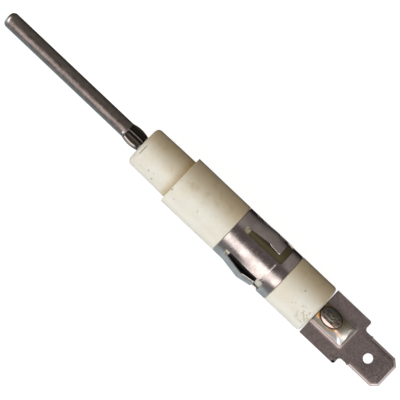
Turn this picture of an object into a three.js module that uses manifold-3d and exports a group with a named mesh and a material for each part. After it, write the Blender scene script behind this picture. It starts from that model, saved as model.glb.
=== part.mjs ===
// Ignition electrode: a metal rod in a ceramic insulator, with a spring clip round the insulator's waist and a
// push-on terminal welded to the rod's rear end.
//
// Millimetres. The X axis is the rod's axis, and +X points to the tip that the spark leaves from. +Z is square to the
// terminal's flat face. The origin is on the axis, in the plane of the shoulder at the front of the insulator's collar.

import * as THREE from 'three';
import { mergeVertices } from 'three/addons/utils/BufferGeometryUtils.js';
import Module from 'manifold-3d';

const wasm = await Module();
wasm.setup();

// Electrode rod
const ROD_RADIUS = 1.45;
const ROD_TIP_X = 39.9;
const ROD_TIP_ROUNDING = 0.9;
const ROD_REAR_X = -38.0;
const ROD_REAR_CHAMFER = 0.2;
const SWAGE_FRONT_X = 12.15;
const SWAGE_REAR_X = 8.75;
const SWAGE_FINS = 4;
const SWAGE_FIN_HEIGHT = 0.3;
const SWAGE_FIN_SPREAD = THREE.MathUtils.degToRad(9);
const SWAGE_GROOVE_DEPTH = 0.34;
const SWAGE_GROOVE_RAMP = 0.45;
const SWAGE_TURN = THREE.MathUtils.degToRad(8);

// Ceramic insulator
const BORE_RADIUS = 1.6;
const BORE_CHAMFER = 0.25;
const NOSE_FRONT_X = 8.63;
const NOSE_FRONT_RADIUS = 3.86;
const NOSE_REAR_RADIUS = 3.95;
const NOSE_ROUNDING = 0.9;
const COLLAR_RADIUS = 4.75;
const COLLAR_CHAMFER = 0.06;
const WAIST_FRONT_X = -12.0;
const WAIST_REAR_X = -24.05;
const WAIST_RADIUS = 4.44;
const WAIST_EDGE_ROUNDING = 0.2;
const INSULATOR_REAR_X = -31.95;
const INSULATOR_REAR_ROUNDING = 0.55;

// Clip: a split sleeve with three windows, each with a finger that rises to a crease and comes back to the waist
const CLIP_SHEET = 0.3;
const CLIP_RADIUS = 4.8;
const CLIP_END_PLAY = 0.06;
const CLIP_SLIT = 0.6;
const CLIP_SLIT_ANGLE = THREE.MathUtils.degToRad(317);
const WINDOW_FRONT_X = -13.56;
const WINDOW_REAR_X = -22.1;
const WINDOW_HALF_ANGLE = THREE.MathUtils.degToRad(33);
const FINGER_ANGLES = [17, 137, 257].map(THREE.MathUtils.degToRad);
const FINGER_WIDTH = 3.5;
const FINGER_TIP_WIDTH = 3.1;
const FINGER_ROOT_X = -13.86;
const FINGER_RISE_X = -14.4;
const FINGER_CREASE_X = -18.1;
const FINGER_CREASE_RADIUS = 5.4;
const FINGER_CREASE_GAP = 0.12;
const FINGER_TIP_X = -20.86;
const FINGER_TIP_RADIUS = 4.86;

// Terminal: a plate with a raised channel over the rod, a neck, and a 6.3 x 0.8 tab
const PLATE_FRONT_X = -32.2;
const PLATE_REAR_X = -40.0;
const PLATE_HALF_WIDTH = 4.8;
const PLATE_CORNER = 0.4;
const SHEET_BOTTOM_Z = 0.2;
const SHEET_TOP_Z = 1.0;
const NECK_FILLET = 0.6;
const NECK_REAR_X = -41.84;
const NECK_BURR_LENGTH = 0.35;
const NECK_BURR_HEIGHT = 0.14;
const TAB_CENTRE_Y = 0.12;
const TAB_WIDTH = 6.3;
const TAB_END_X = -48.15;
const TAB_CORNER_LENGTH = 1.1;
const TAB_CORNER_WIDTH = 1.0;
const TAB_BEVEL = 0.45;
const TAB_BEVEL_DEPTH = 0.18;
const TAB_HOLE_X = -43.7;
const TAB_HOLE_RADIUS = 0.88;
const CHANNEL_REAR_X = -38.95;
const CHANNEL_CENTRE_Y = -0.05;
const CHANNEL_HALF_WIDTH = 2.3;
const CHANNEL_TOP_Z = 2.25;
const CHANNEL_ROUNDING = 0.9;
const CHANNEL_WALL = 0.7;

// Weld between the terminal and the rod
const WELD_X = -34.5;
const WELD_Y = -0.5;
const WELD_LENGTH = 4.1;
const WELD_WIDTH = 3.4;
const WELD_HEIGHT = 0.3;
const WELD_GAP = 0.03;
const WELD_STEM_RADIUS = 0.95;
const WELD_HOLE_RADIUS = 1.05;

const ROUND_SEGMENTS = 48;

const METALS = {
  rod: new THREE.MeshStandardMaterial({ color: 0x6a605e, metalness: 0.9, roughness: 0.4 }),
  clip: new THREE.MeshStandardMaterial({ color: 0xb9b3b0, metalness: 1.0, roughness: 0.22 }),
  terminal: new THREE.MeshStandardMaterial({ color: 0x77696a, metalness: 0.8, roughness: 0.45 }),
  weld: new THREE.MeshStandardMaterial({ color: 0x4c4a48, metalness: 0.8, roughness: 0.3 }),
};
const CERAMIC = new THREE.MeshStandardMaterial({ color: 0xe3dfcb, metalness: 0.0, roughness: 0.6 });

// Turns a shape's plane (x, y) and its extrusion (z) into (Y, Z) and X.
const ALONG_X = new THREE.Matrix4().makeBasis(
  new THREE.Vector3(0, 1, 0),
  new THREE.Vector3(0, 0, 1),
  new THREE.Vector3(1, 0, 0),
);

function solid(geometry) {
  const bare = geometry.index ? geometry.toNonIndexed() : geometry.clone();
  bare.deleteAttribute('normal');
  bare.deleteAttribute('uv');
  const merged = mergeVertices(bare, 1e-5);
  return new wasm.Manifold(
    new wasm.Mesh({
      numProp: 3,
      vertProperties: new Float32Array(merged.attributes.position.array),
      triVerts: new Uint32Array(merged.index.array),
    }),
  );
}

function piece(name, body, material) {
  const { vertProperties, triVerts } = body.getMesh();
  const geometry = new THREE.BufferGeometry();
  geometry.setAttribute('position', new THREE.BufferAttribute(new Float32Array(vertProperties), 3));
  geometry.setIndex(new THREE.BufferAttribute(new Uint32Array(triVerts), 1));
  geometry.computeVertexNormals();
  const mesh = new THREE.Mesh(geometry, material);
  mesh.name = name;
  return mesh;
}

// A closed profile of (radius, x) points turned about the X axis.
function turned(profile, segments = ROUND_SEGMENTS) {
  const geometry = new THREE.LatheGeometry(profile, segments);
  geometry.rotateZ(-Math.PI / 2);
  return geometry;
}

function prismAlongX(shape, frontX, rearX, curveSegments) {
  const geometry = new THREE.ExtrudeGeometry(shape, {
    depth: frontX - rearX,
    bevelEnabled: false,
    curveSegments,
  });
  geometry.applyMatrix4(ALONG_X);
  geometry.translate(rearX, 0, 0);
  return solid(geometry);
}

function prismAlongZ(shape, bottomZ, topZ, curveSegments) {
  const geometry = new THREE.ExtrudeGeometry(shape, {
    depth: topZ - bottomZ,
    bevelEnabled: false,
    curveSegments,
  });
  geometry.translate(0, 0, bottomZ);
  return solid(geometry);
}

function cylinderAlongZ(x, y, radius, bottomZ, topZ) {
  const shape = new THREE.Shape();
  shape.absarc(x, y, radius, 0, 2 * Math.PI, false);
  return prismAlongZ(shape, bottomZ, topZ, 16);
}

// How far the swaged surface stands out of the rod: narrow fins that swell and fade along X, with flat grooves between
// them that start and end steeply.
function swageHeight(x, angle) {
  const along = (x - SWAGE_REAR_X) / (SWAGE_FRONT_X - SWAGE_REAR_X);
  if (along <= 0 || along >= 1) return 0;
  const pitch = (2 * Math.PI) / SWAGE_FINS;
  const offset = (angle - SWAGE_TURN) / pitch;
  const fromFin = (offset - Math.round(offset)) * pitch;
  const ridge = Math.exp(-((fromFin / SWAGE_FIN_SPREAD) ** 2));
  const swell = Math.sin(Math.PI * along) ** 0.8;
  const fromEnd = Math.min(SWAGE_FRONT_X - x, x - SWAGE_REAR_X);
  const sunk = THREE.MathUtils.smoothstep(fromEnd, 0, SWAGE_GROOVE_RAMP);
  return SWAGE_FIN_HEIGHT * swell * ridge - SWAGE_GROOVE_DEPTH * sunk * (1 - ridge);
}

function electrodeRod() {
  const profile = new THREE.Path();
  profile.moveTo(0, ROD_REAR_X);
  profile.lineTo(ROD_RADIUS - ROD_REAR_CHAMFER, ROD_REAR_X);
  profile.lineTo(ROD_RADIUS, ROD_REAR_X + ROD_REAR_CHAMFER);
  const stations = 12;
  for (let i = 0; i <= stations; i += 1) {
    profile.lineTo(ROD_RADIUS, THREE.MathUtils.lerp(SWAGE_REAR_X, SWAGE_FRONT_X, i / stations));
  }
  profile.lineTo(ROD_RADIUS, ROD_TIP_X - ROD_TIP_ROUNDING);
  profile.absarc(
    ROD_RADIUS - ROD_TIP_ROUNDING,
    ROD_TIP_X - ROD_TIP_ROUNDING,
    ROD_TIP_ROUNDING,
    0,
    Math.PI / 2,
    false,
  );
  profile.lineTo(0, ROD_TIP_X);
  const geometry = turned(profile.getPoints(3), 40);
  const position = geometry.attributes.position;
  for (let i = 0; i < position.count; i += 1) {
    const radius = Math.hypot(position.getY(i), position.getZ(i));
    if (radius < ROD_RADIUS - 1e-3) continue;
    const angle = Math.atan2(position.getZ(i), position.getY(i));
    const swaged = radius + swageHeight(position.getX(i), angle);
    position.setY(i, (position.getY(i) / radius) * swaged);
    position.setZ(i, (position.getZ(i) / radius) * swaged);
  }
  return piece('electrode_rod', solid(geometry), METALS.rod);
}

function ceramicInsulator() {
  const quarter = Math.PI / 2;
  const profile = new THREE.Path();
  profile.moveTo(BORE_RADIUS, INSULATOR_REAR_X + BORE_CHAMFER);
  profile.lineTo(BORE_RADIUS + BORE_CHAMFER, INSULATOR_REAR_X);
  profile.absarc(
    COLLAR_RADIUS - INSULATOR_REAR_ROUNDING,
    INSULATOR_REAR_X + INSULATOR_REAR_ROUNDING,
    INSULATOR_REAR_ROUNDING,
    -quarter,
    0,
    false,
  );
  profile.absarc(
    COLLAR_RADIUS - WAIST_EDGE_ROUNDING,
    WAIST_REAR_X - WAIST_EDGE_ROUNDING,
    WAIST_EDGE_ROUNDING,
    0,
    quarter,
    false,
  );
  profile.lineTo(WAIST_RADIUS, WAIST_REAR_X);
  profile.lineTo(WAIST_RADIUS, WAIST_FRONT_X);
  profile.absarc(
    COLLAR_RADIUS - WAIST_EDGE_ROUNDING,
    WAIST_FRONT_X + WAIST_EDGE_ROUNDING,
    WAIST_EDGE_ROUNDING,
    -quarter,
    0,
    false,
  );
  profile.lineTo(COLLAR_RADIUS, -COLLAR_CHAMFER);
  profile.lineTo(COLLAR_RADIUS - COLLAR_CHAMFER, 0);
  profile.lineTo(NOSE_REAR_RADIUS, 0);
  profile.absarc(
    NOSE_FRONT_RADIUS - NOSE_ROUNDING,
    NOSE_FRONT_X - NOSE_ROUNDING,
    NOSE_ROUNDING,
    0,
    quarter,
    false,
  );
  profile.lineTo(BORE_RADIUS + BORE_CHAMFER, NOSE_FRONT_X);
  profile.lineTo(BORE_RADIUS, NOSE_FRONT_X - BORE_CHAMFER);
  profile.lineTo(BORE_RADIUS, INSULATOR_REAR_X + BORE_CHAMFER);
  return piece('ceramic_insulator', solid(turned(profile.getPoints(3))), CERAMIC);
}

// A slice of a ring between two radii, centred on an angle about the X axis.
function ringSector(innerRadius, outerRadius, centreAngle, halfAngle) {
  const shape = new THREE.Shape();
  const from = centreAngle - halfAngle;
  const to = centreAngle + halfAngle;
  shape.absarc(0, 0, outerRadius, from, to, false);
  shape.absarc(0, 0, innerRadius, to, from, true);
  return shape;
}

function clipSleeve() {
  const inner = CLIP_RADIUS - CLIP_SHEET;
  const halfAngle = Math.PI - CLIP_SLIT / 2 / CLIP_RADIUS;
  const ring = ringSector(inner, CLIP_RADIUS, CLIP_SLIT_ANGLE + Math.PI, halfAngle);
  let body = prismAlongX(ring, WAIST_FRONT_X - CLIP_END_PLAY, WAIST_REAR_X + CLIP_END_PLAY, 36);
  for (const angle of FINGER_ANGLES) {
    const opening = ringSector(inner - 1, CLIP_RADIUS + 1, angle, WINDOW_HALF_ANGLE);
    body = body.subtract(prismAlongX(opening, WINDOW_FRONT_X, WINDOW_REAR_X, 8));
  }
  return piece('clip_sleeve', body, METALS.clip);
}

// Outer radius of a finger along X, from its root over the crease to its free end.
function fingerRadius(x) {
  if (x > FINGER_RISE_X) return CLIP_RADIUS;
  if (x > FINGER_CREASE_X) {
    const rise = (x - FINGER_RISE_X) / (FINGER_CREASE_X - FINGER_RISE_X);
    return THREE.MathUtils.lerp(CLIP_RADIUS, FINGER_CREASE_RADIUS, rise);
  }
  const fall = (x - FINGER_CREASE_X) / (FINGER_TIP_X - FINGER_CREASE_X);
  return THREE.MathUtils.lerp(FINGER_CREASE_RADIUS, FINGER_TIP_RADIUS, fall);
}

function fingerWidth(x) {
  const fall = (x - FINGER_CREASE_X) / (FINGER_TIP_X - FINGER_CREASE_X);
  return THREE.MathUtils.lerp(FINGER_WIDTH, FINGER_TIP_WIDTH, Math.max(0, fall));
}

// A strip of sheet that follows the fingers' profile, wrapped round the X axis at an angle.
function fingerStrip(name, angle, frontX, rearX, steps) {
  const geometry = new THREE.BoxGeometry(frontX - rearX, 1, CLIP_SHEET, steps, 8, 1);
  const position = geometry.attributes.position;
  for (let i = 0; i < position.count; i += 1) {
    const x = position.getX(i) + (frontX + rearX) / 2;
    const radius = fingerRadius(x) - CLIP_SHEET / 2 + position.getZ(i);
    const turn = angle - (position.getY(i) * fingerWidth(x)) / fingerRadius(x);
    position.setXYZ(i, x, radius * Math.cos(turn), radius * Math.sin(turn));
  }
  return piece(name, solid(geometry), METALS.clip);
}

function springFinger(number, angle) {
  const halfGap = FINGER_CREASE_GAP / 2;
  return [
    fingerStrip(`finger_${number}_leg`, angle, FINGER_ROOT_X, FINGER_CREASE_X + halfGap, 8),
    fingerStrip(`finger_${number}_tip`, angle, FINGER_CREASE_X - halfGap, FINGER_TIP_X, 5),
  ];
}

// The wide plate and the neck behind it, which ends in a small parting burr on each side.
function plateOutline() {
  const shape = new THREE.Shape();
  const corner = PLATE_CORNER;
  const rear = PLATE_REAR_X;
  const quarter = Math.PI / 2;
  const neckTop = TAB_CENTRE_Y + TAB_WIDTH / 2;
  const neckBottom = TAB_CENTRE_Y - TAB_WIDTH / 2;
  shape.moveTo(PLATE_FRONT_X, -PLATE_HALF_WIDTH);
  shape.lineTo(PLATE_FRONT_X, PLATE_HALF_WIDTH);
  shape.absarc(rear + corner, PLATE_HALF_WIDTH - corner, corner, quarter, 2 * quarter, false);
  shape.absarc(rear - NECK_FILLET, neckTop + NECK_FILLET, NECK_FILLET, 0, -quarter, true);
  shape.lineTo(NECK_REAR_X + NECK_BURR_LENGTH, neckTop);
  shape.lineTo(NECK_REAR_X, neckTop + NECK_BURR_HEIGHT);
  shape.lineTo(NECK_REAR_X, neckBottom - NECK_BURR_HEIGHT);
  shape.lineTo(NECK_REAR_X + NECK_BURR_LENGTH, neckBottom);
  shape.absarc(rear - NECK_FILLET, neckBottom - NECK_FILLET, NECK_FILLET, quarter, 0, true);
  shape.absarc(rear + corner, corner - PLATE_HALF_WIDTH, corner, 2 * quarter, 3 * quarter, false);
  return shape;
}

// The tab with all its free edges bevelled on both faces. Its front edge is buried in the neck.
function bevelledTab() {
  const half = TAB_WIDTH / 2;
  const buriedX = NECK_REAR_X + TAB_BEVEL + 0.1;
  const shape = new THREE.Shape();
  shape.moveTo(buriedX, TAB_CENTRE_Y + half);
  shape.lineTo(TAB_END_X + TAB_CORNER_LENGTH, TAB_CENTRE_Y + half);
  shape.lineTo(TAB_END_X, TAB_CENTRE_Y + half - TAB_CORNER_WIDTH);
  shape.lineTo(TAB_END_X, TAB_CENTRE_Y - half + TAB_CORNER_WIDTH);
  shape.lineTo(TAB_END_X + TAB_CORNER_LENGTH, TAB_CENTRE_Y - half);
  shape.lineTo(buriedX, TAB_CENTRE_Y - half);
  const geometry = new THREE.ExtrudeGeometry(shape, {
    depth: SHEET_TOP_Z - SHEET_BOTTOM_Z - 2 * TAB_BEVEL_DEPTH,
    bevelThickness: TAB_BEVEL_DEPTH,
    bevelSize: TAB_BEVEL,
    bevelOffset: -TAB_BEVEL,
    bevelSegments: 1,
  });
  geometry.translate(0, 0, SHEET_BOTTOM_Z + TAB_BEVEL_DEPTH);
  return solid(geometry);
}

// Cross-section of the raised channel, grown or shrunk by a distance.
function channelSection(grow) {
  const half = CHANNEL_HALF_WIDTH + grow;
  const top = CHANNEL_TOP_Z + grow;
  const corner = Math.max(CHANNEL_ROUNDING + grow, 0.3);
  const bottom = SHEET_BOTTOM_Z - (grow < 0 ? 1 : 0);
  const shape = new THREE.Shape();
  shape.moveTo(CHANNEL_CENTRE_Y - half, bottom);
  shape.lineTo(CHANNEL_CENTRE_Y + half, bottom);
  shape.absarc(CHANNEL_CENTRE_Y + half - corner, top - corner, corner, 0, Math.PI / 2, false);
  shape.absarc(CHANNEL_CENTRE_Y - half + corner, top - corner, corner, Math.PI / 2, Math.PI, false);
  return shape;
}

function terminalBlade() {
  const arcSteps = 5;
  const plate = prismAlongZ(plateOutline(), SHEET_BOTTOM_Z, SHEET_TOP_Z, arcSteps);
  const roof = prismAlongX(channelSection(0), PLATE_FRONT_X, CHANNEL_REAR_X, arcSteps);
  const hollow = prismAlongX(
    channelSection(-CHANNEL_WALL),
    PLATE_FRONT_X + 1,
    CHANNEL_REAR_X + CHANNEL_WALL,
    arcSteps,
  );
  const body = plate
    .add(bevelledTab())
    .add(roof)
    .subtract(hollow)
    .subtract(cylinderAlongZ(TAB_HOLE_X, TAB_CENTRE_Y, TAB_HOLE_RADIUS, SHEET_BOTTOM_Z - 1, SHEET_TOP_Z + 1))
    .subtract(cylinderAlongZ(WELD_X, CHANNEL_CENTRE_Y, WELD_HOLE_RADIUS, ROD_RADIUS, CHANNEL_TOP_Z + 1));
  return piece('terminal_blade', body, METALS.terminal);
}

// A cap that follows the channel's roof, with a stem through the roof down to the rod.
function weldButton() {
  const outline = new THREE.Shape();
  outline.absellipse(WELD_X, WELD_Y, WELD_LENGTH / 2, WELD_WIDTH / 2, 0, 2 * Math.PI, false);
  const top = CHANNEL_TOP_Z + WELD_HEIGHT;
  const stemBottom = ROD_RADIUS + WELD_GAP;
  const front = WELD_X + WELD_LENGTH;
  const rear = WELD_X - WELD_LENGTH;
  const cap = prismAlongZ(outline, SHEET_TOP_Z + WELD_GAP, top + 1, 14)
    .intersect(prismAlongX(channelSection(WELD_HEIGHT), front, rear, 5))
    .subtract(prismAlongX(channelSection(WELD_GAP), front, rear, 5));
  const stem = cylinderAlongZ(WELD_X, CHANNEL_CENTRE_Y, WELD_STEM_RADIUS, stemBottom, top);
  return piece('weld_button', cap.add(stem), METALS.weld);
}

const electrode = new THREE.Group();
electrode.add(electrodeRod(), ceramicInsulator(), clipSleeve());
FINGER_ANGLES.forEach((angle, index) => electrode.add(...springFinger(index + 1, angle)));
electrode.add(terminalBlade(), weldButton());

export default electrode;
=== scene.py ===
"""An ignition electrode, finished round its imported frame.

Shape sizes are in millimetres in the frame's own axes: X runs along the rod towards its tip, and +Z is
square to the terminal's flat face. MM turns them into the metres that the meshes are made in.
"""

import math

import bmesh
import bpy
import numpy as np
from mathutils import Matrix, Vector, geometry, noise


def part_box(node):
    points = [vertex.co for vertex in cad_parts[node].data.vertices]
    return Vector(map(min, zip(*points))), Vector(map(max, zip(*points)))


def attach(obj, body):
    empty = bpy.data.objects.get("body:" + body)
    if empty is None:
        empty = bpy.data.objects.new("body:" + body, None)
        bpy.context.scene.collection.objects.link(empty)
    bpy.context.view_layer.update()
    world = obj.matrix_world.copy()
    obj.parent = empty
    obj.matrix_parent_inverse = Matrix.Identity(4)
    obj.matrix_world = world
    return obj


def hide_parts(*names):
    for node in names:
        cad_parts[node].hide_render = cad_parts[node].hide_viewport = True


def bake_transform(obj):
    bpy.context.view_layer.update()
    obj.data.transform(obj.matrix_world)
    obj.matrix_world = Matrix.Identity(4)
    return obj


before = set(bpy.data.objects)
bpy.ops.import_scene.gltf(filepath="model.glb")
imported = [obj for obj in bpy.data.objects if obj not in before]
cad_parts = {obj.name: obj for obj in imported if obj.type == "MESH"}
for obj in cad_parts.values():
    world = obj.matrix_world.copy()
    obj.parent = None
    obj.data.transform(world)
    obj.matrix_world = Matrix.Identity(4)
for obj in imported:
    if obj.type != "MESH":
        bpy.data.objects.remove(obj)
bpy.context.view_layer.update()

MM = 0.001
QUARTER = math.pi / 2
TURN = 2 * math.pi
DOUBLES_WITHIN = 0.0005
SAME_PLACE = 0.0001
SHARP_ANGLE = math.radians(38)


def box_mm(node):
    """The lowest and highest corner of a CAD node, in millimetres."""
    low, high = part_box(node)
    return low / MM, high / MM


ROD_LOW, ROD_HIGH = box_mm("electrode_rod")
CERAMIC_LOW, CERAMIC_HIGH = box_mm("ceramic_insulator")
SLEEVE_LOW, SLEEVE_HIGH = box_mm("clip_sleeve")
TERMINAL_LOW, TERMINAL_HIGH = box_mm("terminal_blade")
FINGER_ROOT_X = box_mm("finger_1_leg")[1].x
FINGER_TIP_X = box_mm("finger_1_tip")[0].x

# Electrode rod
ROD_RADIUS = 1.45
ROD_TIP_ROUNDING = 0.9
SWAGE_FRONT_X = 12.15
SWAGE_REAR_X = 8.75
SWAGE_FINS = 4
SWAGE_FIN_HEIGHT = 0.3
SWAGE_FIN_SPREAD = math.radians(10)
SWAGE_GROOVE_DEPTH = 0.34
SWAGE_GROOVE_RAMP = 0.45
SWAGE_TURN = math.radians(11)
SWAGE_SWELL_POWER = 0.8
ROD_SEGMENTS = 144
ROD_RINGS = 201
# The rod's rings shared out over its face, tip rounding, shank, swage, rear and rear face
ROD_SHARES = (0.0, 0.03, 0.15, 0.3, 0.85, 0.96, 1.0)

# Ceramic insulator
BORE_RADIUS = 1.6
BORE_CHAMFER = 0.25
NOSE_FRONT_RADIUS = 3.89
NOSE_REAR_RADIUS = 3.98
NOSE_ROUNDING = 0.9
COLLAR_RADIUS = CERAMIC_HIGH.z + 0.07
COLLAR_EDGE = 0.1
WAIST_FRONT_X = -12.0
WAIST_REAR_X = -24.05
WAIST_RADIUS = 4.44
WAIST_EDGE_ROUNDING = 0.2
REAR_ROUNDING = 0.55
CERAMIC_SEGMENTS = 192
CERAMIC_WAVE = 0.018
CERAMIC_GRIT = 0.006
CERAMIC_GRIT_SHIFT = Vector((9, 4, 2))

# Clip
CLIP_SHEET = 0.3
CLIP_RADIUS = 4.8
CLIP_SLIT = 0.6
CLIP_SLIT_ANGLE = math.radians(317)
CLIP_RIM = 0.025
CLIP_CORNER = 0.25
CLIP_SPACING = 0.35
SLOT_RADIUS = 0.5
SLOT_FRONT_X = -14.06
WINDOW_REAR_X = -22.1
WINDOW_HALF_ANGLE = math.radians(33)
WINDOW_CORNER = 0.4
FORMING_LINE_X = -21.35
FORMING_LINE_HEIGHT = 0.06
FORMING_LINE_SPREAD = 0.08
FORMING_LINE_FADE = 0.4
LIFTED_EDGE = 0.17
LIFTED_EDGE_WIDTH = 1.6
LIFTED_EDGE_OVERLAP = 0.05
LIFTED_EDGE_FRONT = (-15.0, -18.5)
LIFTED_EDGE_REAR = (-22.3, -21.2)
BRIDGE_MARGIN = 0.15
FINGER_ANGLES = [math.radians(17), math.radians(137), math.radians(257)]
FINGER_WIDTH = 3.5
FINGER_TIP_WIDTH = 3.1
FINGER_RISE_X = -14.4
FINGER_CREASE_X = -18.1
FINGER_CREASE_RADIUS = 5.4
FINGER_TIP_RADIUS = 4.86
FINGER_TIP_CORNER = 0.35
FINGER_JOIN_X = -17.7
FINGER_RIM = 0.02
FINGER_BENT_RIM = 0.1
FINGER_ROOT_SOFTNESS = 0.05
FINGER_CREASE_SOFTNESS = 0.12
FINGER_ROOT_BLEND = 1.1
FINGER_STEPS = 48
FINGER_CUTS = 15
FINGER_SIDE_CROWDING = 1.8
FINGER_END_CROWDING = 1.6

# Terminal
PLATE_REAR_X = -40.0
PLATE_HALF_WIDTH = 4.8
PLATE_CORNER = 0.4
CORNER_CURL = 0.3
CORNER_CURL_REACH = (1.3, 0.2)
SHEET_BOTTOM_Z = TERMINAL_LOW.z
SHEET_TOP_Z = 1.0
NECK_FILLET = 0.6
NECK_REAR_X = -41.84
NECK_BURR_LENGTH = 0.35
NECK_BURR_HEIGHT = 0.14
TAB_CENTRE_Y = 0.12
TAB_HALF_WIDTH = 3.15
TAB_CORNER_LENGTH = 1.1
TAB_CORNER_WIDTH = 1.0
TAB_BEVEL = 0.45
TAB_BEVEL_DEPTH = 0.18
TAB_BEVEL_RAMP = 0.3
TAB_HOLE_X = -43.7
TAB_HOLE_RADIUS = 0.88
TERMINAL_RIM = 0.06
TERMINAL_SPACING = 0.3
TERMINAL_GRID = 0.34
DENT_X, DENT_Y = -46.95, 1.4
CHANNEL_REAR_X = -38.95
CHANNEL_CENTRE_Y = -0.05
CHANNEL_HALF_WIDTH = 2.14
CHANNEL_CORNER = 0.35
CHANNEL_WALL_RUN = 0.35
CHANNEL_SOFT_WALL_RUN = 1.05
CHANNEL_INNER_WALL_RUN = 0.6
CHANNEL_FILLET_RUN = 0.35
CHANNEL_FILLET_HEIGHT = 0.1
CHANNEL_CROWN_RADIUS = 14.0
CHANNEL_SLUMP = 0.34
CHANNEL_SLUMP_LENGTH = 1.7
CHANNEL_SLUMP_SIDES = (-1.6, 1.8)
CHANNEL_LEAN_ENDS = (-33.5, -37.5)
CHANNEL_WALL_SIDES = (-1.2, 0.6)
CHANNEL_WALL_SHAPE = 0.42
CHANNEL_LEAN_FRONT = math.tan(math.radians(0.5))
CHANNEL_LEAN_REAR = math.tan(math.radians(5))
CHANNEL_INNER_HALF_WIDTH = 1.55
CHANNEL_INNER_REAR_X = -38.65
CHANNEL_INNER_TOP_Z = 1.55
# How far inside the channel's edge its mesh has a line that follows it
CHANNEL_LINES = (-0.35, -0.2, 0.0, 0.02, 0.05, 0.1, 0.17, 0.25, 0.35, 0.5, 0.7, 0.9)
CHANNEL_INNER_LINES = (0.0, 0.06, 0.18, 0.42)

# Weld
WELD_X = -34.4
WELD_Y = -0.62
WELD_HALF_LENGTH = 2.12
WELD_HALF_WIDTH = 1.58
WELD_HEIGHT = 0.3
WELD_GAP = 0.03
WELD_FLATNESS = 3.2
WELD_EDGE_POWER = 0.6
WELD_EVEN_SHARE = 0.82
WELD_RIPPLE = 0.25
WELD_SEGMENTS = 96
WELD_RINGS = 22
WELD_STEM_RADIUS = 0.95
WELD_HOLE_RADIUS = 1.05


# ---- Node trees written as expressions ----


def operators(operation):
    """Two methods for an operator: for a value on its left, and for a value on its right."""
    def left(self, other):
        return self.net.maths(operation, self, other)

    def right(self, other):
        return self.net.maths(operation, other, self)

    return left, right


class Value:
    """One output of a node. Sums on values add Math nodes to the tree that the value belongs to."""

    __add__, __radd__ = operators("ADD")
    __sub__, __rsub__ = operators("SUBTRACT")
    __mul__, __rmul__ = operators("MULTIPLY")
    __truediv__, __rtruediv__ = operators("DIVIDE")
    __pow__, __rpow__ = operators("POWER")

    def __init__(self, net, socket):
        self.net = net
        self.socket = socket

    def __neg__(self):
        return self.net.maths("MULTIPLY", self, -1.0)

    def __abs__(self):
        return self.net.maths("ABSOLUTE", self)


class Net:
    """A node tree that is filled by expressions."""

    def __init__(self, tree):
        self.tree = tree

    def feed(self, socket, value):
        """Links a value to a socket, or sets the socket to a constant."""
        if isinstance(value, Value):
            self.tree.links.new(value.socket, socket)
        else:
            socket.default_value = value

    def node(self, kind, settings=None, inputs=None, out=0):
        """Adds a node: its settings first, then the values or links of its sockets."""
        made = self.tree.nodes.new(kind)
        for key, value in (settings or {}).items():
            if key == "stops":
                set_stops(made.color_ramp, value)
            else:
                setattr(made, key, value)
        for key, value in (inputs or {}).items():
            self.feed(made.inputs[key], value)
        return Value(self, made.outputs[out])

    def maths(self, operation, *values):
        return self.node("ShaderNodeMath", {"operation": operation}, dict(enumerate(values)))

    def vector(self, operation, first, second):
        slot = "Scale" if operation == "SCALE" else 1
        return self.node("ShaderNodeVectorMath", {"operation": operation}, {0: first, slot: second})

    def smaller(self, first, second):
        return self.maths("MINIMUM", first, second)

    def larger(self, first, second):
        return self.maths("MAXIMUM", first, second)

    def part(self, value, start, end):
        """How far a value is from start to end, held between 0 and 1."""
        inputs = {"Value": value, "From Min": start, "From Max": end}
        return self.node("ShaderNodeMapRange", {"clamp": True}, inputs)

    def smooth(self, value, start, end, low=0.0, high=1.0):
        """Runs smoothly from low at start to high at end."""
        inputs = {"Value": value, "From Min": start, "From Max": end, "To Min": low, "To Max": high}
        return self.node("ShaderNodeMapRange", {"interpolation_type": "SMOOTHSTEP"}, inputs)

    def bump_at(self, value, centre, spread):
        """1 at a centre, falling to 0 on both sides."""
        return self.smooth(abs(value - centre), spread, 0.0)

    def between(self, value, foot, top, edge, end):
        """Rises from 0 at foot to 1 at top, and falls from 1 at edge to 0 at end."""
        return self.smooth(value, foot, top) * self.smooth(value, end, edge)

    def hypot(self, first, second):
        return self.maths("SQRT", first * first + second * second)

    def split(self, vector):
        made = self.tree.nodes.new("ShaderNodeSeparateXYZ")
        self.feed(made.inputs[0], vector)
        return [Value(self, output) for output in made.outputs]

    def join(self, x, y, z):
        return self.node("ShaderNodeCombineXYZ", None, {0: x, 1: y, 2: z})

    def mix(self, factor, first, second):
        """Mixes two colours."""
        inputs = {0: factor, 6: first, 7: second}
        return self.node("ShaderNodeMix", {"data_type": "RGBA"}, inputs, out=2)

    def ramp(self, value, stops):
        return self.node("ShaderNodeValToRGB", {"stops": stops}, {0: value})

    def noise(self, vector, scale, detail=2.0, roughness=0.5, distortion=0.0):
        inputs = {
            "Vector": vector,
            "Scale": scale,
            "Detail": detail,
            "Roughness": roughness,
            "Distortion": distortion,
        }
        return self.node("ShaderNodeTexNoise", {"noise_dimensions": "3D"}, inputs)


def set_stops(ramp, stops):
    while len(ramp.elements) < len(stops):
        ramp.elements.new(1.0)
    for element, (position, colour) in zip(ramp.elements, stops):
        element.position = position
        element.color = colour


def paint(red, green, blue):
    """A screen colour, each part from 0 to 1, as the linear colour that a node holds."""
    def linear(part):
        return part / 12.92 if part <= 0.04045 else ((part + 0.055) / 1.055) ** 2.4

    return (linear(red), linear(green), linear(blue), 1.0)


def grey(level):
    return (level, level, level, 1.0)


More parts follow.
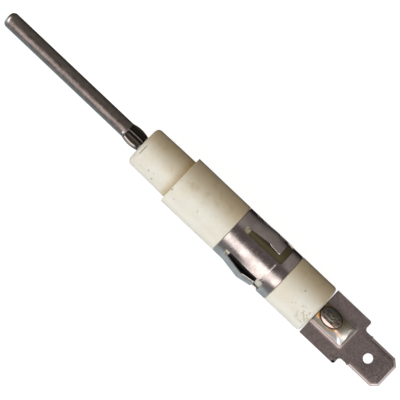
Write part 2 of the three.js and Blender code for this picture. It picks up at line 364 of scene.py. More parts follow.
class Finish(Net):
    """A material: one Principled shader, and the object's own place in millimetres."""

    def __init__(self, name, **constants):
        self.material = bpy.data.materials.new(name)
        self.material.use_nodes = True
        super().__init__(self.material.node_tree)
        self.shader = self.tree.nodes["Principled BSDF"]
        for label, value in constants.items():
            self.shader.inputs[label.replace("_", " ")].default_value = value
        place = self.node("ShaderNodeTexCoord", out="Object")
        self.place = self.vector("SCALE", place, 1 / MM)
        self.x, self.y, self.z = self.split(self.place)
        self.colour = None

    def coat(self, share, *tone):
        """Lays a screen colour over the coats before it, by a share from 0 to 1."""
        self.colour = self.mix(share, self.colour, paint(*tone))

    def past_line(self, x, y, slope):
        """How far towards +Y a point lies from the slanting line through x and y."""
        return self.y - y - slope * (self.x - x)

    def stretched(self, along_x, across):
        """The place, scaled along the rod and across it, for streaks."""
        return self.vector("MULTIPLY", self.place, (along_x, across, across))

    def set(self, **links):
        """Feeds the shader's sockets, which are named with _ for a space."""
        for label, value in links.items():
            self.feed(self.shader.inputs[label.replace("_", " ")], value)

    def relief(self, *layers):
        """Bumps, each a height from 0 to 1 and its depth in millimetres, the coarsest first."""
        normal = None
        for height, depth in layers:
            inputs = {"Strength": 1.0, "Distance": depth * MM, "Height": height}
            if normal is not None:
                inputs["Normal"] = normal
            normal = self.node("ShaderNodeBump", None, inputs)
        self.set(Normal=normal)


class Recipe(Net):
    """A geometry node tree with named inputs, which makes one closed mesh."""

    def __init__(self, name, labels):
        super().__init__(bpy.data.node_groups.new(name, "GeometryNodeTree"))
        face = self.tree.interface
        self.identifiers = {}
        for label in labels:
            socket = face.new_socket(label, in_out="INPUT", socket_type="NodeSocketFloat")
            self.identifiers[label] = socket.identifier
        face.new_socket("Geometry", in_out="OUTPUT", socket_type="NodeSocketGeometry")
        start = self.tree.nodes.new("NodeGroupInput")
        self.given = {label: Value(self, start.outputs[label]) for label in labels}

    def wrap(self, shape, x, radius, angle):
        """Moves each point to its place along, away from and round the rod's axis, given in millimetres."""
        side, up = radius * self.maths("COSINE", angle), radius * self.maths("SINE", angle)
        inputs = {"Geometry": shape, "Position": self.join(x * MM, side * MM, up * MM)}
        return self.node("GeometryNodeSetPosition", None, inputs)

    def end(self, shape, material):
        """Closes the tree with Realize Instances and Set Material."""
        real = self.node("GeometryNodeRealizeInstances", None, {"Geometry": shape})
        painted = self.node("GeometryNodeSetMaterial", None, {"Geometry": real, "Material": material})
        out = self.tree.nodes.new("NodeGroupOutput")
        self.feed(out.inputs[0], painted)

    def make(self, name, sizes):
        """Runs the tree with sizes for its inputs, and returns the result as a plain mesh."""
        start = bpy.data.meshes.new(name + "_start")
        holder = bpy.data.objects.new(name + "_recipe", start)
        bpy.context.scene.collection.objects.link(holder)
        modifier = holder.modifiers.new("Recipe", "NODES")
        modifier.node_group = self.tree
        for label, value in sizes.items():
            modifier[self.identifiers[label]] = float(value)
        holder.update_tag()
        bpy.context.view_layer.update()
        depsgraph = bpy.context.evaluated_depsgraph_get()
        mesh = bpy.data.meshes.new_from_object(holder.evaluated_get(depsgraph))
        mesh.name = name
        bpy.data.objects.remove(holder)
        bpy.data.meshes.remove(start)
        return mesh


# ---- Finishes ----


CERAMIC_SPECKS = [
    # x, y, radius, strength: dirt on the face that is turned up
    (4.84, 2.5, 0.24, 0.42),
    (3.79, 2.26, 0.17, 0.3),
    (3.54, 3.17, 0.22, 0.45),
    (-0.2, 2.1, 0.22, 0.6),
    (-0.4, -0.1, 0.15, 0.4),
    (-1.6, 3.1, 0.16, 0.35),
    (6.4, -1.9, 0.18, 0.3),
    (-28.0, -0.9, 0.26, 0.42),
    (-29.4, 1.2, 0.17, 0.32),
]
SCUFF_X, SCUFF_Y = 7.88, 0.6
WAIST_SHADE_FRONT_X = -14.45
WAIST_BRIGHT_X = -20.7
ROD_GLINT_X, ROD_GLINT_Y, ROD_GLINT_RADIUS = 12.4, 0.8, 0.26
ROD_FLANK_Y = 1.26
ROOF_STREAK_X, ROOF_STREAK_Y, ROOF_STREAK_SLOPE = -37.3, 0.9, -0.81
ROOF_GLOW_X, ROOF_GLOW_Y, ROOF_GLOW_SLOPE = -36.7, 0.5, -0.1
WELD_CHORD = 0.9


def ceramic_finish():
    """Unglazed cream ceramic: mottled, stained, scuffed and specked, with painted shade down one side and
    under the clip, and painted light along the other side.
    """
    net = Finish("ceramic_cream", Specular_IOR_Level=0.35)
    cloud = net.noise(net.place, 0.16, detail=3.0, roughness=0.6)
    grain = net.noise(net.place, 2.6, detail=3.0, roughness=0.6)
    edge = net.noise(net.place, 0.9, detail=2.0)
    radius = net.hypot(net.y, net.z)
    upper = net.smooth(net.z, 0.0, 0.4)
    net.colour = paint(0.905, 0.9, 0.855)
    net.coat(net.smooth(cloud, 0.35, 0.68), 0.89, 0.86, 0.79)
    net.coat(net.smooth(grain, 0.3, 0.75, 0.0, 0.2), 0.81, 0.785, 0.71)
    # The -Y side is painted tan and darker: painted shade
    shaded_side = net.smooth(net.y - 2.2 * (cloud - 0.5), 1.6, -3.6)
    net.coat(shaded_side * 0.82, 0.82, 0.735, 0.585)
    # lit_side and limb are light and shade painted on, fixed to the ceramic
    lit_side = net.smooth(net.y, 2.6, 4.0)
    net.coat(lit_side * 0.5, 0.98, 0.975, 0.94)
    # Mottled patches of the painted shade on the -Y side
    patch = net.smooth(net.noise(net.place, 0.32, detail=3.0, roughness=0.6), 0.52, 0.66)
    net.coat(patch * net.smooth(net.y, 1.0, -1.2) * 0.35, 0.72, 0.64, 0.5)
    stain = net.smooth(net.x + 0.9 * edge, 2.1, 0.35) * net.smooth(net.x, -0.02, 0.02)
    net.coat(stain * 0.6, 0.76, 0.65, 0.4)
    scuff = net.bump_at(net.x + 0.05 * edge, SCUFF_X, 0.16)
    scuff = scuff * net.smooth(abs(net.y - SCUFF_Y), 1.25, 0.6) * net.smooth(net.z, 0.0, 0.5)
    net.coat(scuff * 0.8, 0.4, 0.36, 0.28)

    ragged = 0.16 * (net.noise(net.place, 4.0, detail=2.0) - 0.5)
    for x, y, size, strength in CERAMIC_SPECKS:
        away = net.hypot(net.x - x, net.y - y) + ragged
        net.coat(net.smooth(away, size, 0.3 * size) * upper * strength, 0.36, 0.34, 0.3)
    specks = net.noise(net.place, 0.85, detail=4.0, roughness=0.7)
    net.coat(net.smooth(specks, 0.66, 0.74) * 0.4, 0.45, 0.43, 0.37)
    smudge = net.smooth(net.noise(net.place, 1.1, detail=4.0, roughness=0.7), 0.49, 0.62)
    smudge = smudge * net.smooth(net.x, -29.0, -30.2) * net.between(net.y, 0.6, 1.6, 2.8, 4.2)
    net.coat(smudge * 0.5, 0.45, 0.46, 0.38)
    limb = net.smooth(net.y / radius, -0.93, -0.99)
    net.coat(limb * 0.6, 0.55, 0.5, 0.38)

    # The waist is painted darker under the clip, and darker still in the windows except for a lit spot at
    # their rear: painted shade
    front, bright = WAIST_SHADE_FRONT_X, WAIST_BRIGHT_X
    waist = net.smooth(radius, WAIST_RADIUS + 0.12, WAIST_RADIUS + 0.03)
    waist = waist * net.between(
        net.x, WAIST_REAR_X - 0.15, WAIST_REAR_X + 0.05, WAIST_FRONT_X - 0.1, WAIST_FRONT_X + 0.1
    )
    bright_end = net.smooth(net.x, bright, bright - 0.25) * net.between(net.y, 2.0, 2.6, 4.0, 4.15)
    in_window = net.between(net.x, WINDOW_REAR_X - 0.5, WINDOW_REAR_X, front - 0.2, front)
    net.coat(waist * (0.3 + 0.65 * in_window * (1 - bright_end)), 0.33, 0.305, 0.18)
    # A near-black coat in the slots beside the fingers and under their tips: painted shadow
    under_tip = net.smooth(net.y, 4.0, 4.15) * net.smooth(net.x, bright - 0.8, bright - 0.6)
    painted_shadow = net.larger(net.smooth(net.x, bright - 0.25, bright), under_tip)
    painted_shadow = painted_shadow * waist * net.smooth(net.x, front, front - 0.25)
    shadowed_slots = net.larger(net.smooth(net.y, 2.2, 2.6), net.smooth(net.y, -4.0, -4.15))
    net.coat(painted_shadow * shadowed_slots, 0.05, 0.05, 0.05)

    net.set(Base_Color=net.colour)
    net.set(Roughness=net.smooth(grain, 0.3, 0.7, 0.48, 0.66))
    net.relief((cloud, 0.05), (grain, 0.02))
    return net.material


def rod_finish():
    """Drawn heat-resistant steel: dull, brown-grey, with streaks along it and faint rings across it, and
    painted light and shade.
    """
    net = Finish("drawn_steel")
    streak = net.noise(net.stretched(0.35, 5.0), 1.0, detail=3.0, roughness=0.6)
    rings = net.noise(net.stretched(6.0, 0.5), 1.0, detail=2.0, roughness=0.6)
    mottle = net.noise(net.place, 1.1, detail=4.0, roughness=0.65)
    net.colour = paint(0.49, 0.445, 0.435)
    net.coat(net.smooth(mottle, 0.3, 0.7), 0.65, 0.595, 0.58)
    net.coat(net.smooth(streak, 0.5, 0.75, 0.0, 0.5), 0.34, 0.29, 0.27)
    # Painted shade darkens the -Y side towards olive, and painted light makes the +Y side paler
    net.coat(net.smooth(net.y, 0.45, -0.15) * 0.55, 0.5, 0.48, 0.43)
    net.coat(net.smooth(net.y, 0.6, 1.1) * 0.6, 0.63, 0.64, 0.62)
    # A painted highlight on the tip's rounding, which is also made smoother below
    tip = net.smooth(net.x, ROD_HIGH.x - 1.0, ROD_HIGH.x - 0.6) * net.between(net.y, -0.6, 0.0, 0.6, 1.1)
    net.coat(tip * 0.8, 0.9, 0.88, 0.86)

    above = net.hypot(net.y, net.z) - ROD_RADIUS
    swaged = net.smooth(net.x, SWAGE_FRONT_X + 0.1, SWAGE_FRONT_X - 0.4)
    # Painted shade in the swage's grooves
    cavity = swaged * net.smooth(above, 0.02, -0.2)
    net.coat(cavity * 0.9, 0.27, 0.245, 0.21)
    rubbed = swaged * net.smooth(above, 0.03, 0.12)
    net.coat(rubbed * 0.7, 0.8, 0.74, 0.73)
    # Painted shade beside each fin, and on the swage's -Y side
    from_fin = abs(net.maths("ARCTAN2", -net.y, net.z) - SWAGE_TURN)
    beside_fin = net.between(from_fin, *(math.radians(degrees) for degrees in (1, 3.5, 18, 34)))
    net.coat(swaged * beside_fin * 0.9, 0.08, 0.07, 0.065)
    net.coat(swaged * net.smooth(net.y, -1.1, -1.35) * 0.8, 0.25, 0.235, 0.21)

    # The flank and the glint are highlights painted on, so they are less metallic than the steel round them
    from_middle = net.x - (SWAGE_FRONT_X + SWAGE_REAR_X) / 2
    from_flank = net.y - ROD_FLANK_Y + 0.1 * from_middle * from_middle
    rear, front = SWAGE_REAR_X, SWAGE_FRONT_X
    flank = net.bump_at(from_flank, 0.0, 0.15)
    flank = flank * net.between(net.x, rear + 0.45, rear + 0.95, front - 0.45, front - 0.15)
    from_glint = net.hypot(net.x - ROD_GLINT_X, net.y - ROD_GLINT_Y)
    glint = net.smooth(from_glint, ROD_GLINT_RADIUS, 0.12)
    shiny = net.larger(flank, glint) * net.smooth(net.z, 0.0, 0.3)
    # Past the flank the swage is painted grey: painted shade
    net.coat(swaged * net.smooth(from_flank, 0.12, 0.2) * 0.8, 0.4, 0.4, 0.41)
    net.coat(shiny, 1.0, 0.95, 0.94)

    net.set(Base_Color=net.colour, Metallic=1 - 0.85 * shiny)
    dull = net.smooth(0.5 * streak + 0.5 * mottle, 0.35, 0.65, 0.38, 0.5)
    net.set(Roughness=dull - 0.16 * tip)
    net.relief((mottle, 0.02), (streak, 0.014), (rings, 0.008))
    return net.material


def clip_finish():
    """Bright nickel-plated spring sheet with fine scratches round it and small dull patches."""
    net = Finish("plated_spring_sheet", Metallic=1.0)
    scratches = net.noise(net.stretched(7.0, 0.35), 1.0, detail=3.0, roughness=0.7)
    crossed = net.noise(net.stretched(0.5, 3.0), 1.0, detail=3.0, roughness=0.7)
    patches = net.noise(net.place, 0.55, detail=4.0, roughness=0.6)
    waves = net.noise(net.place, 0.22, detail=1.0)
    net.colour = paint(0.83, 0.79, 0.775)
    net.coat(net.smooth(patches, 0.35, 0.7), 0.74, 0.7, 0.69)
    net.coat(net.smooth(scratches, 0.6, 0.8, 0.0, 0.5), 0.5, 0.46, 0.45)
    net.set(Base_Color=net.colour)
    rough = net.smooth(patches, 0.3, 0.7, 0.2, 0.3)
    net.set(Roughness=rough + net.smooth(scratches, 0.5, 0.8, 0.0, 0.12))
    net.relief((waves, 0.12), (patches, 0.014), (crossed, 0.004), (scratches, 0.005))
    return net.material


def weld_distance(net):
    """1 on the weld's outline, less inside it, more outside."""
    return net.hypot((net.x - WELD_X) / WELD_HALF_LENGTH, (net.y - WELD_Y) / WELD_HALF_WIDTH)


def terminal_finish():
    """Satin stamped sheet: brown-grey and speckled, burnished on the channel, tinted by the weld's heat,
    with painted highlights and shade on the channel and round the weld.
    """
    net = Finish("stamped_sheet")
    speck = net.noise(net.place, 3.4, detail=4.0, roughness=0.7)
    cloud = net.noise(net.place, 0.5, detail=3.0)
    rolled = net.noise(net.stretched(0.6, 7.0), 1.0, detail=2.0)
    height = net.z - SHEET_TOP_Z
    net.colour = paint(0.44, 0.4, 0.39)
    net.coat(net.smooth(speck, 0.3, 0.7), 0.58, 0.53, 0.52)
    net.coat(net.smooth(cloud, 0.4, 0.7, 0.0, 0.35), 0.4, 0.36, 0.35)
    net.coat(net.smooth(net.x, -43.5, -39.5, 0.0, 0.12), 0.72, 0.66, 0.64)

    raised = net.smooth(height, 0.25, 0.7)
    # The roof is painted darker towards +Y: painted shade
    roof = net.mix(net.smooth(net.y, 0.9, 1.4), paint(0.76, 0.74, 0.67), paint(0.6, 0.57, 0.52))
    net.colour = net.mix(raised * 0.85, net.colour, roof)
    # The rear of the roof is burnished and smoother; its silver is a painted sheen, lighter towards -Y and
    # darker towards +Y
    burnished_sheen = raised * net.smooth(net.y + 0.5 * cloud, -1.3, 0.5) * net.smooth(net.x, -34.5, -37.5)
    silver = net.mix(net.smooth(net.y, 0.3, 1.2), paint(0.82, 0.81, 0.79), paint(0.55, 0.55, 0.56))
    # The streak, and the glow further down, are highlights painted on the channel's roof
    from_streak = net.past_line(ROOF_STREAK_X, ROOF_STREAK_Y, ROOF_STREAK_SLOPE)
    streak = net.bump_at(from_streak, 0.0, 0.4) * net.smooth(net.y, 0.7, 1.1)
    silver = net.mix(streak * 0.85, silver, paint(0.88, 0.91, 0.95))
    net.colour = net.mix(burnished_sheen * 0.85, net.colour, silver)

    from_side = abs(net.y - CHANNEL_CENTRE_Y) - CHANNEL_HALF_WIDTH
    from_channel = net.larger(from_side, CHANNEL_REAR_X - net.x)
    # The plate is painted lighter beside the channel: painted light
    beside = net.smooth(from_channel, 0.6, 0.1) * (1 - raised)
    net.coat(beside * 0.3, 0.72, 0.665, 0.65)
    # A painted highlight along the channel's foot and the tab's bevel, which are also made smoother
    foot = net.between(height, 0.015, 0.05, 0.3, 0.7)
    bevel = net.between(height, -0.4, -0.3, -0.06, -0.015)
    painted_sheen = net.larger(foot * 0.45, bevel)
    net.coat(painted_sheen * 0.8, 0.84, 0.79, 0.78)
    # The channel's walls are made less metallic and painted lighter and pinker on the +Y side: a painted
    # highlight
    wall = net.between(from_channel, -0.42, -0.28, 0.02, 0.16)
    wall_tone = net.mix(net.smooth(net.y, 1.2, 1.6), paint(0.56, 0.53, 0.5), paint(0.86, 0.79, 0.77))
    net.colour = net.mix(wall * 0.85, net.colour, wall_tone)

    near = weld_distance(net)
    wander = near + 0.35 * (cloud - 0.5)
    brown = net.smooth(wander, 1.75, 1.12) * net.smooth(height, -0.1, 0.3) * net.smooth(net.y, 1.6, 0.2)
    net.coat(brown * 0.75, 0.47, 0.39, 0.26)
    glow = net.bump_at(net.past_line(ROOF_GLOW_X, ROOF_GLOW_Y, ROOF_GLOW_SLOPE), 0.0, 0.42)
    net.coat(glow * net.between(net.x, -38.2, -37.2, -36.1, -35.6), 1.0, 0.86, 0.74)
    # Orange heat tint round the weld, painted bright as highlights along its rear +Y edge and at a spot in
    # front, where it is also raised and less metallic
    fringe = net.bump_at(near, 1.14, 0.09) * net.smooth(net.y, 0.1, 0.6) * net.smooth(net.x, -34.9, -35.5)
    heat_glint = net.bump_at(near, 1.2, 0.22) * net.smooth(net.x, -33.2, -32.8)
    heat_glint = heat_glint * net.between(net.y, -0.1, 0.3, 0.6, 1.0)
    tint_and_glint = net.larger(fringe * 0.85, heat_glint)
    net.coat(tint_and_glint, 1.0, 0.7, 0.36)
    net.coat(net.smooth(near, 1.06, 1.01), 0.18, 0.11, 0.1)
    from_corner = net.larger(abs(net.x - PLATE_REAR_X - 0.1), abs(net.y - PLATE_HALF_WIDTH + 0.05))
    nick = net.smooth(from_corner + 0.3 * (speck - 0.5), 0.55, 0.3)
    net.coat(nick * 0.9, 0.1, 0.1, 0.1)

    net.set(Base_Color=net.colour, Metallic=1 - 0.7 * wall - 0.3 * heat_glint)
    matt = 1 - net.larger(raised, painted_sheen)
    dull = net.smooth(0.7 * speck + 0.3 * rolled, 0.35, 0.65, 0.42, 0.58)
    burnished = 0.46 - 0.16 * burnished_sheen
    net.set(Roughness=burnished + matt * (dull - burnished))
    from_dent = net.hypot(net.x - DENT_X, net.y - DENT_Y)
    dent = net.bump_at(from_dent * from_dent, 0.05, 0.07)
    fine = speck * (0.1 + 0.9 * matt)
    net.relief((tint_and_glint, 0.07), (dent, 0.08), (cloud, 0.008), (rolled * matt, 0.006), (fine, 0.014))
    return net.material


def weld_finish():
    """A resistance weld's button, with the colours that heat leaves on it and a painted highlight."""
    net = Finish("weld_heat_tint", Metallic=1.0)
    near = weld_distance(net)
    swirl = net.noise(net.place, 0.75, detail=3.0, roughness=0.55, distortion=1.6)
    fine = net.noise(net.place, 4.5, detail=3.0, roughness=0.6)
    film = [
        (0.3, paint(0.41, 0.46, 0.48)),
        (0.42, paint(0.48, 0.52, 0.51)),
        (0.5, paint(0.52, 0.48, 0.37)),
        (0.56, paint(0.49, 0.39, 0.36)),
        (0.62, paint(0.41, 0.45, 0.46)),
        (0.72, paint(0.54, 0.52, 0.45)),
    ]
    net.colour = net.ramp(swirl, film)
    net.coat(net.smooth(net.x, -35.0, -36.0) * 0.5, 0.36, 0.32, 0.28)
    # A painted highlight crescent on the +Y side, smoother and without relief
    from_chord = net.y - WELD_Y - WELD_CHORD + 0.15 * (swirl - 0.5)
    inside = net.smooth(near, 0.95, 0.9)
    crescent = net.smooth(from_chord, -0.06, 0.06) * inside
    red = net.bump_at(from_chord, -0.08, 0.14) * inside
    net.coat(crescent, 0.84, 0.75, 0.72)
    net.coat(red * 0.8, 0.5, 0.16, 0.12)
    net.coat(net.smooth(near, 0.95, 0.98), 0.18, 0.11, 0.1)
    net.set(Base_Color=net.colour)
    net.set(Roughness=net.smooth(fine, 0.3, 0.7, 0.32, 0.46) - 0.12 * crescent)
    net.relief((swirl * (1 - crescent), 0.05), (fine * (1 - crescent), 0.01))
    return net.material


# ---- Meshes ----


def arc(centre, radius, start, end, steps):
    """Points on an arc in a plane, both ends included."""
    angles = [start + (end - start) * step / steps for step in range(steps + 1)]
    return [(centre[0] + radius * math.cos(a), centre[1] + radius * math.sin(a)) for a in angles]


def line(start, end, spacing):
    """Points on a straight line, both ends included."""
    steps = max(1, round(math.dist(start, end) / spacing))
    return [
        (start[0] + (end[0] - start[0]) * step / steps, start[1] + (end[1] - start[1]) * step / steps)
        for step in range(steps + 1)
    ]


def closed_line(corners, spacing):
    """Points round a closed outline through its corners."""
    return [
        point
        for index, start in enumerate(corners)
        for point in line(start, corners[(index + 1) % len(corners)], spacing)[:-1]
    ]


def tube_faces(first, rings, segments, closed=False):
    """Quads between rings of points. A closed tube's last ring is joined to its first one."""
    faces = []
    for ring in range(rings if closed else rings - 1):
        here = first + ring * segments
        there = first + (ring + 1) % rings * segments
        for step in range(segments):
            turned = (step + 1) % segments
            faces.append((here + step, here + turned, there + turned, there + step))
    return faces


def smoothstep(value, start, end):
    part = min(1.0, max(0.0, (value - start) / (end - start)))
    return part * part * (3 - 2 * part)


def tidy_mesh(mesh, sharp_angle):
    """Merges doubles, turns the faces outwards and shades the mesh smooth between its sharp edges."""
    shape = bmesh.new()
    shape.from_mesh(mesh)
    bmesh.ops.remove_doubles(shape, verts=shape.verts, dist=DOUBLES_WITHIN * MM)
    if shape.calc_volume(signed=True) < 0:
        bmesh.ops.reverse_faces(shape, faces=shape.faces)
    shape.to_mesh(mesh)
    shape.free()
    mesh.shade_smooth()
    mesh.set_sharp_from_angle(angle=sharp_angle)
    return mesh


def mesh_from(name, points, faces, sharp_angle=SHARP_ANGLE):
    """A mesh from points in millimetres."""
    mesh = bpy.data.meshes.new(name)
    mesh.from_pydata([Vector(point) * MM for point in points], [], faces)
    return tidy_mesh(mesh, sharp_angle)


def piece(name, mesh, material, nodes):
    """An object for a finished mesh with one material, which stands for CAD nodes and hides them."""
    mesh.materials.clear()
    mesh.materials.append(material)
    made = bpy.data.objects.new(name, mesh)
    bpy.context.scene.collection.objects.link(made)
    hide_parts(*nodes)
    return made


def inset(outline, distance):
    """A closed outline moved to its left by a distance."""
    moved = []
    for index, point in enumerate(outline):
        before = Vector(point) - Vector(outline[index - 1])
        after = Vector(outline[(index + 1) % len(outline)]) - Vector(point)
        first = Vector((-before.y, before.x)).normalized()
        second = Vector((-after.y, after.x)).normalized()
        moved.append(tuple(Vector(point) + (first + second) * distance / (1 + first.dot(second))))
    return moved


def crossings(points, starts, ends):
    """For each point, how many of the segments a ray towards +X crosses."""
    px, py = points[:, 0, None], points[:, 1, None]
    ax, ay, bx, by = starts[:, 0], starts[:, 1], ends[:, 0], ends[:, 1]
    spans = (ay > py) != (by > py)
    rise = np.where(by == ay, 1.0, by - ay)
    return (spans & (px < (bx - ax) * (py - ay) / rise + ax)).sum(1)


def clearances(points, starts, ends):
    """For each point, its distance to the nearest of the segments."""
    along = ends - starts
    reach = points[:, None, :] - starts
    share = np.clip((reach * along).sum(2) / np.maximum((along * along).sum(1), 1e-12), 0, 1)
    return np.linalg.norm(reach - share[..., None] * along, axis=2).min(1)


def fill(outlines, creases, spacing, rim):
    """Points and triangles that fill flat outlines, with the metal on their left, and follow creases."""
    chains = []
    for outline in outlines:
        chains += [(outline, True), (inset(outline, rim), True)]
    chains += [(crease, False) for crease in creases]
    points, edges = [], []
    for chain, closed in chains:
        first = len(points)
        points += chain
        edges += [(first + i, first + i + 1) for i in range(len(chain) - 1)]
        if closed:
            edges.append((len(points) - 1, first))

    flat = np.array(points)
    starts, ends = flat[[a for a, _ in edges]], flat[[b for _, b in edges]]
    loops = [np.array(outline) for outline in outlines]
    loop_starts = np.concatenate(loops)
    loop_ends = np.concatenate([np.roll(loop, -1, axis=0) for loop in loops])
    low, high = flat.min(0), flat.max(0)
    columns = np.arange(low[0], high[0], spacing)
    rows = np.arange(low[1], high[1], spacing)
    grid = np.array([(a + 0.5 * spacing * (j % 2), b) for j, b in enumerate(rows) for a in columns])
    grid = grid[crossings(grid, loop_starts, loop_ends) % 2 == 1]
    grid = grid[clearances(grid, starts, ends) > 0.55 * spacing]
    seeds = [Vector(point) for point in points] + [Vector(point) for point in grid]
    found, _, triangles, *_ = geometry.delaunay_2d_cdt(seeds, edges, [], 0, 1e-5)
    centres = np.array([sum((found[i] for i in face), Vector((0, 0))) / len(face) for face in triangles])
    kept = crossings(centres, loop_starts, loop_ends) % 2 == 1
    return found, [face for face, keep in zip(triangles, kept) if keep]


def sheet(name, outlines, creases, spacing, thickness, rim, place, rim_at=None):
    """A closed piece of sheet metal with chamfered rims, from flat outlines and crease lines.

    place puts a flat point in space at a depth under the outer skin. rim_at gives the share of the chamfer
    that a point has.
    """
    found, triangles = fill(outlines, creases, spacing, rim)
    directed = {(face[i], face[(i + 1) % len(face)]) for face in triangles for i in range(len(face))}
    border = [(a, b) for a, b in directed if (b, a) not in directed]
    border.sort()
    on_rim = {vertex for edge in border for vertex in edge}
    skins = []
    for side in (0, 1):
        for index, point in enumerate(found):
            drop = rim if index in on_rim else 0.0
            if drop and rim_at:
                drop *= rim_at(point.x, point.y)
            skins.append(place(point.x, point.y, thickness - drop if side else drop))
    count = len(found)
    faces = [tuple(face) for face in triangles]
    faces += [tuple(count + i for i in reversed(face)) for face in triangles]
    faces += [(b, a, count + a, count + b) for a, b in border]
    used = sorted({vertex for face in faces for vertex in face})
    renumbered = {old: new for new, old in enumerate(used)}
    faces = [tuple(renumbered[i] for i in face) for face in faces]
    return mesh_from(name, [skins[i] for i in used], faces)


# ---- Electrode rod ----


def rod_recipe(labels, material):
    """A round rod with a rounded tip, swaged into fins where it meets the ceramic."""
    net = Recipe("swaged_rod", labels)
    given = net.given
    inputs = {"Size X": 1.0, "Size Y": 1.0, "Vertices X": ROD_RINGS, "Vertices Y": ROD_SEGMENTS + 1}
    grid = net.node("GeometryNodeMeshGrid", None, inputs)
    place = net.node("GeometryNodeInputPosition")
    across, around, _ = net.split(place)
    length = across + 0.5
    angle = (around + 0.5) * TURN
    face, round_off, shank, swage, rear, close = (
        net.part(length, start, end) for start, end in zip(ROD_SHARES, ROD_SHARES[1:])
    )

    flat = given["Radius"] - given["Tip Rounding"]
    bend = round_off * QUARTER
    radius = flat * face + given["Tip Rounding"] * net.maths("SINE", bend)
    round_x = given["Tip"] - given["Tip Rounding"]
    swage_length = given["Swage Front"] - given["Swage Rear"]
    x = round_x + given["Tip Rounding"] * net.maths("COSINE", bend)
    x = x - (round_x - given["Swage Front"]) * shank
    x = x - swage_length * swage
    x = x - (given["Swage Rear"] - given["Rear"]) * rear

    pitch = TURN / given["Fins"]
    offset = (angle - given["Fin Turn"]) / pitch
    from_fin = (offset - net.maths("ROUND", offset)) * pitch / given["Fin Spread"]
    ridge = net.maths("EXPONENT", -(from_fin * from_fin))
    swell = net.maths("SINE", swage * math.pi) ** SWAGE_SWELL_POWER
    from_end = net.smaller(swage, 1 - swage) * swage_length
    sunk = net.smooth(from_end, 0.0, given["Groove Ramp"])
    height = given["Fin Height"] * swell * ridge - given["Groove Depth"] * sunk * (1 - ridge)
    shaped = net.wrap(grid, x, (radius + height) * (1 - close), angle)
    inputs = {"Geometry": shaped, "Distance": DOUBLES_WITHIN * MM}
    net.end(net.node("GeometryNodeMergeByDistance", None, inputs), material)
    return net


def electrode_rod(material):
    sizes = {
        "Radius": ROD_RADIUS,
        "Tip": ROD_HIGH.x,
        "Rear": ROD_LOW.x,
        "Tip Rounding": ROD_TIP_ROUNDING,
        "Swage Front": SWAGE_FRONT_X,
        "Swage Rear": SWAGE_REAR_X,
        "Fins": SWAGE_FINS,
        "Fin Height": SWAGE_FIN_HEIGHT,
        "Fin Spread": SWAGE_FIN_SPREAD,
        "Groove Depth": SWAGE_GROOVE_DEPTH,
        "Groove Ramp": SWAGE_GROOVE_RAMP,
        "Fin Turn": SWAGE_TURN,
    }
    mesh = tidy_mesh(rod_recipe(sizes, material).make("rod", sizes), math.radians(50))
    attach(piece("rod", mesh, material, ["electrode_rod"]), "insulator")


# ---- Ceramic insulator ----


def ceramic_profile():
    """The insulator's closed section as (x, radius) points, from the bore's rear end over the outside."""
    rear, front = CERAMIC_LOW.x, CERAMIC_HIGH.x
    radius = COLLAR_RADIUS
    bore = BORE_RADIUS
    spacing = 0.4
    edge = WAIST_EDGE_ROUNDING
    profile = [(rear + BORE_CHAMFER, bore)]
    profile += line((rear, bore + BORE_CHAMFER), (rear, radius - REAR_ROUNDING - spacing), spacing)
    profile += arc((rear + REAR_ROUNDING, radius - REAR_ROUNDING), REAR_ROUNDING, math.pi, QUARTER, 8)
    start, end = rear + REAR_ROUNDING + spacing, WAIST_REAR_X - edge - spacing
    profile += line((start, radius), (end, radius), spacing)
    profile += arc((WAIST_REAR_X - edge, radius - edge), edge, QUARTER, 0, 5)
    profile += line((WAIST_REAR_X, WAIST_RADIUS), (WAIST_FRONT_X, WAIST_RADIUS), spacing)
    profile += arc((WAIST_FRONT_X + edge, radius - edge), edge, math.pi, QUARTER, 5)
    start, end = WAIST_FRONT_X + edge + spacing, -COLLAR_EDGE - spacing
    profile += line((start, radius), (end, radius), spacing)
    profile += arc((-COLLAR_EDGE, radius - COLLAR_EDGE), COLLAR_EDGE, QUARTER, 0, 4)
    profile += line((0.0, radius - COLLAR_EDGE - 0.15), (0.0, NOSE_REAR_RADIUS), 0.2)
    nose_end, face = front - NOSE_ROUNDING, NOSE_FRONT_RADIUS - NOSE_ROUNDING
    profile += line((spacing, NOSE_REAR_RADIUS), (nose_end - spacing, NOSE_FRONT_RADIUS), spacing)
    profile += arc((nose_end, face), NOSE_ROUNDING, QUARTER, 0, 12)
    profile += line((front, face - 0.2), (front, bore + BORE_CHAMFER), spacing)
    profile += line((front - BORE_CHAMFER, bore), (rear + 1.0, bore), 4.0)
    return profile


def ceramic_insulator(material):
    """The turned section, with the slight waviness of a pressed and fired body."""
    profile = ceramic_profile()
    points = []
    for x, radius in profile:
        wavy = smoothstep(radius, BORE_RADIUS + 0.5, BORE_RADIUS + 1.5)
        for step in range(CERAMIC_SEGMENTS):
            angle = TURN * step / CERAMIC_SEGMENTS
            side, up = math.cos(angle), math.sin(angle)
            wave = noise.noise(Vector((0.3 * x, 1.4 * side, 1.4 * up)))
            grit = noise.noise(Vector((1.7 * x, 6.0 * side, 6.0 * up)) + CERAMIC_GRIT_SHIFT)
            true_radius = radius + wavy * (CERAMIC_WAVE * wave + CERAMIC_GRIT * grit)
            points.append((x, true_radius * side, true_radius * up))
    faces = tube_faces(0, len(profile), CERAMIC_SEGMENTS, closed=True)
    mesh = mesh_from("insulator_body", points, faces)
    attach(piece("insulator_body", mesh, material, ["ceramic_insulator"]), "insulator")


# ---- Clip ----


